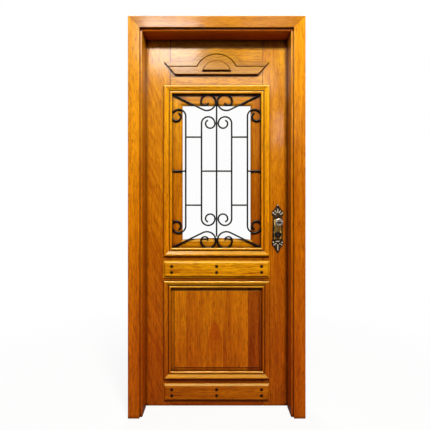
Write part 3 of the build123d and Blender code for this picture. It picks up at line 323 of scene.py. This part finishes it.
def draw_flame(g, colour, spot, wander):
    """Arched flame of a plain-sawn stave, whose stripes fade toward the foot of the panel."""
    across = g.math("SUBTRACT", spot[0], FLAME_MIDDLE)
    depth = g.math("MULTIPLY", g.math("MULTIPLY", across, across), FLAME_SPREAD)
    depth = g.math("SUBTRACT", g.math("SUBTRACT", FLAME_TIP, spot[2]), depth)
    depth = g.math("ADD", depth, g.math("MULTIPLY", wander, 0.5))
    side = g.remap(spot[0], FLAME_EDGE + 0.0005, FLAME_EDGE - 0.0005)
    inside = g.math("MULTIPLY", g.remap(depth, 0.0, FLAME_SOFTNESS), side)
    inside = g.math("MULTIPLY", inside, g.remap(spot[2], *FLAME_FADES))
    stripe = g.remap(g.math("PINGPONG", depth, FLAME_STRIPE), 0.0, FLAME_STRIPE)
    stripe = g.math("ADD", g.math("MULTIPLY", stripe, 0.5), 0.4)
    red, green, blue = TONES[0]
    return g.mix(g.math("MULTIPLY", inside, stripe), colour,
                 (red * 0.82, green * 0.60, blue * 0.60, 1.0))


def stain_nails(g, colour, spot, middle):
    """Iron stain round each nail of a board with two rows of three."""
    aside = g.math("PINGPONG", spot[0], NAIL_PITCH / 2)
    above = g.math("SUBTRACT", g.apart(spot[2], middle), NAIL_ROW)
    away = g.math("SQRT", g.math("ADD", g.math("MULTIPLY", aside, aside),
                                 g.math("MULTIPLY", above, above)))
    return g.mix(g.remap(away, *NAIL_STAIN_FADES, 0.85, 0.0), colour, NAIL_STAIN)


def wood(name, cut):
    """Varnished wood. No two pieces are alike."""
    material, g = new_material("wood_" + name)
    place = g.place()
    spot = g.split(place)
    start = place
    if cut.staved:
        stave = stave_ramp(g, spot[0])
        start = g.vector("ADD", place, g.vector("MULTIPLY", stave, STAVE_SHIFT))
    grain, wander = grain_space(g, start, cut)
    streaks = pattern(g, grain, STREAKS, 3.0, 0.65)
    figure = figure_of(g, place, grain, streaks, cut)
    colour = g.mix(figure, tone_at(g, spot[2], DARK_PARTS), tone_at(g, spot[2], LIGHT_PARTS))
    gold = cut.tone * cut.gold
    colour = g.mix(1.0, colour, (cut.tone, gold, gold, 1), "MULTIPLY")
    dash = g.remap(pattern(g, grain, DASHES), 0.53, 0.66, 0.0, 0.42)
    colour = g.mix(dash, colour, DASH_COLOUR)
    pore = g.remap(pattern(g, grain, PORES), 0.56, 0.68, 0.0, 0.6)
    colour = g.mix(pore, colour, PORE_COLOUR)
    if cut.staved:
        colour = tint_staves(g, colour, stave)
        colour = draw_flame(g, colour, spot, wander)
    if cut.rub:
        # Slopes that face up are painted a paler gold: a painted highlight where the light from
        # above falls
        rise = g.split(g.add("ShaderNodeNewGeometry").outputs["True Normal"])[2]
        colour = g.mix(g.remap(rise, 0.2, 0.6, 0.0, cut.rub), colour, PAINTED_HIGHLIGHT_GOLD)
    # Painted shade darkens grooves, corners and the gaps under the boards and mouldings
    colour = g.paint_corner_shade(colour, PAINTED_CORNER_SHADE, reach=0.030, full=0.36, none=0.86, most=0.94)
    if cut.nailed:
        colour = stain_nails(g, colour, spot, middle_of(name)[2])
    ripple = pattern(g, grain, RIPPLE)
    relief = g.math("ADD", g.math("MULTIPLY", streaks, 0.6), g.math("MULTIPLY", ripple, 0.8))
    relief = g.math("SUBTRACT", relief, g.math("MULTIPLY", pore, 0.8))
    g.end(g.add("ShaderNodeBsdfPrincipled", {
        "Base Color": colour, "Roughness": g.remap(ripple, 0.3, 0.7, 0.30, 0.44),
        "Specular IOR Level": 0.05,
        "Coat Weight": 0.6, "Coat Roughness": 0.15, "Coat IOR": 1.5,
        "Normal": g.bump(relief, 0.18, 0.0012),
    }))
    return material


for piece, cut in WOOD.items():
    paint(piece, wood(piece, cut))


# Metals
def metal(name, colour, worn, metallic, roughness, grain=180.0, bump=0.15, specular=0.5):
    """A metal whose colour, wear and gloss vary over its surface."""
    material, g = new_material(name)
    place = g.place()
    patches = g.noise(place, 26.0, 4.0, 0.6)
    speckle = g.noise(place, grain, 3.0, 0.6)
    tint = g.mix(g.remap(patches, 0.35, 0.7), colour, worn)
    tint = g.mix(g.remap(speckle, 0.5, 0.8, 0.0, 0.4), tint, worn)
    g.end(g.add("ShaderNodeBsdfPrincipled", {
        "Base Color": tint, "Metallic": metallic, "Specular IOR Level": specular,
        "Roughness": g.remap(patches, 0.3, 0.7, roughness - 0.08, roughness + 0.1),
        "Normal": g.bump(speckle, bump, 0.0006),
    }))
    return material


iron = metal("grille_iron", rgb(11, 10, 11), rgb(24, 23, 23), metallic=0.0, roughness=0.36,
             grain=260.0, bump=0.25, specular=0.16)
for piece in pieces_of("grille_iron"):
    paint(piece, iron)
steel = metal("plain_steel", rgb(176, 172, 164), rgb(140, 136, 128), metallic=1.0,
              roughness=0.34, grain=400.0, bump=0.05)
for piece in pieces_of("plain_steel"):
    paint(piece, steel)
paint("nails", metal("nail_iron", rgb(30, 9, 6), rgb(52, 20, 13), metallic=0.0, roughness=0.5,
                     grain=300.0, bump=0.3, specular=0.12))
paint("escutcheon_screws", metal("aged_bronze", rgb(138, 122, 104), rgb(206, 194, 176),
                                 metallic=0.2, roughness=0.3, grain=220.0, bump=0.3))
paint("lock_cylinder", metal("cylinder_black", rgb(26, 24, 23), rgb(52, 48, 44),
                             metallic=0.6, roughness=0.3))
paint("cylinder_plug", metal("cylinder_brass", rgb(44, 29, 23), rgb(92, 68, 50),
                             metallic=0.4, roughness=0.36))

# The knobs and lock plates are alike on both faces of the leaf. Depths of the knob's face are
# taken from the middle of the leaf's thickness, and those of the plate from the leaf's face
LEAF_LOW, LEAF_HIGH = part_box("stile_left")
LEAF_MIDDLE = (LEAF_LOW[1] + LEAF_HIGH[1]) / 2
LEAF_HALF = (LEAF_HIGH[1] - LEAF_LOW[1]) / 2
KNOB_FACE = (0.057, 0.061)
BAR_HALF_LENGTH = 0.0180
BAR_HALF_HEIGHT = 0.0056
BAR_TAPER = 16.0
PLATE_FIELD_HALF = 0.058
PLATE_EDGE_RISES = (0.0038, 0.0046)
PLATE_TOPS = (0.0064, 0.0080)


def knob_metal():
    """Pale worn metal with a dark bar across the face of the knob, and a dark neck."""
    material, g = new_material("knob_metal")
    place = g.place()
    spot = g.split(place)
    middle = middle_of("knob_front")
    across = g.apart(spot[0], middle[0])
    upright = g.apart(spot[2], middle[2])
    speckle = g.noise(place, 220.0, 3.0, 0.6)
    pale = g.mix(g.remap(speckle, 0.4, 0.7), rgb(140, 133, 124), rgb(206, 200, 190))
    half = g.math("MULTIPLY", g.math("MULTIPLY", across, across), BAR_TAPER)
    half = g.math("SUBTRACT", BAR_HALF_HEIGHT, half)
    dark = g.remap(g.math("SUBTRACT", half, upright), 0.0, 0.0012)
    dark = g.math("MULTIPLY", dark, g.remap(across, BAR_HALF_LENGTH, BAR_HALF_LENGTH - 0.0015))
    face = g.remap(g.apart(spot[1], LEAF_MIDDLE), *KNOB_FACE)
    colour = g.mix(g.math("MULTIPLY", dark, face), pale, rgb(44, 32, 25))
    colour = g.mix(g.math("SUBTRACT", 1.0, face), colour, rgb(84, 68, 54))
    g.end(g.add("ShaderNodeBsdfPrincipled", {
        "Base Color": colour, "Metallic": 0.2, "Roughness": g.remap(speckle, 0.3, 0.7, 0.26, 0.4),
        "Normal": g.bump(speckle, 0.3, 0.0006),
    }))
    return material


def plate_metal():
    """Cast lock plate: dark raised edges, worn tops painted near-white, partly as a painted
    highlight, and a tan field between them, painted brighter as painted light where the knob's
    shadow falls.
    """
    material, g = new_material("plate_metal")
    place = g.place()
    spot = g.split(place)
    proud = g.math("SUBTRACT", g.apart(spot[1], LEAF_MIDDLE), LEAF_HALF)
    patches = g.noise(place, 60.0, 4.0, 0.6)
    speckle = g.noise(place, 420.0, 3.0, 0.6)
    # The field's own tan, painted brighter as painted light where the knob's shadow falls
    field = g.mix(g.remap(patches, 0.3, 0.7), rgb(250, 180, 74), rgb(255, 222, 122))
    edge = g.mix(g.remap(patches, 0.35, 0.65), rgb(15, 10, 8), rgb(66, 50, 36))
    # Worn tops painted near-white: partly wear, partly a painted highlight
    worn_tops_and_highlight = g.mix(g.remap(speckle, 0.4, 0.7), rgb(176, 156, 128), rgb(255, 246, 226))
    upright = g.apart(spot[2], middle_of("escutcheon_front")[2])
    raised = g.math("MAXIMUM", g.remap(proud, *PLATE_EDGE_RISES),
                    g.remap(upright, PLATE_FIELD_HALF, PLATE_FIELD_HALF + 0.002))
    colour = g.mix(raised, field, edge)
    colour = g.mix(g.remap(proud, *PLATE_TOPS), colour, worn_tops_and_highlight)
    # Painted shade darkens the hollows of the plate
    colour = g.paint_corner_shade(colour, rgb(16, 10, 7), reach=0.004, full=0.38, none=0.80, most=0.95)
    g.end(g.add("ShaderNodeBsdfPrincipled", {
        "Base Color": colour, "Metallic": 0.1, "Specular IOR Level": 0.35,
        "Roughness": g.remap(patches, 0.3, 0.7, 0.26, 0.42),
        "Normal": g.bump(patches, 0.5, 0.0008),
    }))
    return material


knob = knob_metal()
plate = plate_metal()
for side in ("front", "back"):
    paint("knob_" + side, knob)
    paint("escutcheon_" + side, plate)


# Window glass
def window_glass():
    material, g = new_material("window_glass")
    clear = g.add("ShaderNodeBsdfTransparent", {"Color": (1, 1, 1, 1)})
    shine = g.add("ShaderNodeBsdfGlossy", {"Color": (1, 1, 1, 1), "Roughness": 0.02})
    mirrored = g.math("MINIMUM", g.add("ShaderNodeFresnel", {"IOR": 1.22}).outputs[0], 0.25)
    g.end(g.add("ShaderNodeMixShader", {0: mirrored, 1: clear.outputs[0], 2: shine.outputs[0]}))
    return material


paint("sash_glass", window_glass())

# Eased edges, so that corners catch the light as sanded and varnished wood does
EASED = 0.0007
for piece in WOOD:
    bevel = nodes[piece].modifiers.new("eased_edges", "BEVEL")
    bevel.width = EASED
    bevel.segments = 2
    bevel.limit_method = "ANGLE"
    bevel.angle_limit = math.radians(40)

# Floor and background
FLOOR_REACH = 6.0
WHITE = (1, 1, 1, 1)


def floor_material():
    """Plain white floor that keeps the shadow of the object near it."""
    material, g = new_material("floor")
    path = g.add("ShaderNodeLightPath").outputs
    seen = g.math("MAXIMUM", path["Is Camera Ray"], path["Is Transmission Ray"])
    shown = g.math("MAXIMUM", seen, g.math("MULTIPLY", path["Is Glossy Ray"], 0.06))
    away = g.add("ShaderNodeVectorMath", {0: g.place()}, operation="LENGTH").outputs["Value"]
    plain = g.math("MULTIPLY", shown, g.remap(away, 0.9, 2.4, 0.88, 1.0))
    unseen = g.mix(path["Is Glossy Ray"], (0.16, 0.15, 0.14, 1), (0.03, 0.03, 0.03, 1))
    matt = g.add("ShaderNodeBsdfDiffuse", {"Color": g.mix(seen, unseen, (0.9, 0.9, 0.9, 1))})
    white = g.add("ShaderNodeEmission", {"Color": WHITE, "Strength": 1.0})
    g.end(g.add("ShaderNodeMixShader", {0: plain, 1: matt.outputs[0], 2: white.outputs[0]}))
    return material


floor_mesh = bpy.data.meshes.new("floor")
floor_corners = [(-FLOOR_REACH, -FLOOR_REACH, 0), (FLOOR_REACH, -FLOOR_REACH, 0),
                 (FLOOR_REACH, FLOOR_REACH, 0), (-FLOOR_REACH, FLOOR_REACH, 0)]
floor_mesh.from_pydata(floor_corners, [], [(0, 1, 2, 3)])
floor_mesh.materials.append(floor_material())
floor = bpy.data.objects.new("floor", floor_mesh)
bpy.context.scene.collection.objects.link(floor)


def studio_world():
    """White to the camera, dim to matt surfaces, and white to glossy ones behind and above."""
    world = bpy.data.worlds.new("studio")
    world.use_nodes = True
    g = Graph(world.node_tree)
    path = g.add("ShaderNodeLightPath").outputs
    dim = g.remap(path["Is Glossy Ray"], 0, 1, 0.13, 0.03)
    room = g.add("ShaderNodeBackground", {"Color": (1.0, 0.96, 0.92, 1), "Strength": dim})
    white = g.add("ShaderNodeBackground", {"Color": WHITE, "Strength": 1.0})
    toward = g.split(g.add("ShaderNodeTexCoord").outputs["Generated"])
    behind = g.remap(toward[1], -0.2, 0.3)
    above = g.remap(toward[2], 0.62, 0.85, 0.0, 0.5)
    glossy = g.math("MULTIPLY", path["Is Glossy Ray"], g.math("MAXIMUM", behind, above))
    seen = g.math("MAXIMUM", path["Is Camera Ray"], path["Is Transmission Ray"])
    seen = g.math("MAXIMUM", seen, glossy)
    both = g.add("ShaderNodeMixShader", {0: seen, 1: room.outputs[0], 2: white.outputs[0]})
    g.end(both, "ShaderNodeOutputWorld")
    return world


bpy.context.scene.world = studio_world()


# Studio lights. Glossy says that a lamp is mirrored in varnish and metal, and diffuse that it
# lights matt surfaces
def lamp(name, place, aim, size, power, colour=(1, 1, 1), glossy=True, diffuse=True):
    """A flat lamp of so many metres in width and height, and its power in watts."""
    data = bpy.data.lights.new(name, "AREA")
    data.shape = "RECTANGLE"
    data.size, data.size_y = size
    data.energy = power
    data.color = colour
    light = bpy.data.objects.new(name, data)
    light.visible_glossy = glossy
    light.visible_diffuse = diffuse
    light.location = place
    light.rotation_euler = (Vector(aim) - Vector(place)).to_track_quat("-Z", "Y").to_euler()
    bpy.context.scene.collection.objects.link(light)


lamp("key", (0.60, -2.35, 3.25), aim=(0, 0, 1.6), size=(0.5, 0.4), power=124,
     colour=(1.0, 0.97, 0.92), glossy=False)
lamp("sheen", (-0.50, -2.05, 3.02), aim=(0, 0, 1.7), size=(0.6, 0.42), power=17,
     colour=(0.90, 0.99, 1.0))
lamp("wide_sheen", (0.10, -2.05, 2.66), aim=(0, 0, 1.7), size=(1.2, 0.3), power=7,
     colour=(1, 0.95, 0.86), diffuse=False)
lamp("window", (0.74, -2.05, 2.10), aim=(0.3, 0, 1.6), size=(0.08, 0.35), power=0.9,
     diffuse=False)
lamp("overhead", (0, -0.55, 3.4), aim=(0, -0.54, 0), size=(2.0, 0.8), power=230,
     colour=(1, 0.90, 0.58), diffuse=False)
lamp("back", (-0.6, 2.6, 3.1), aim=(0, 0, 1.2), size=(1.2, 1.0), power=60)

bpy.context.scene.view_settings.view_transform = "Standard"
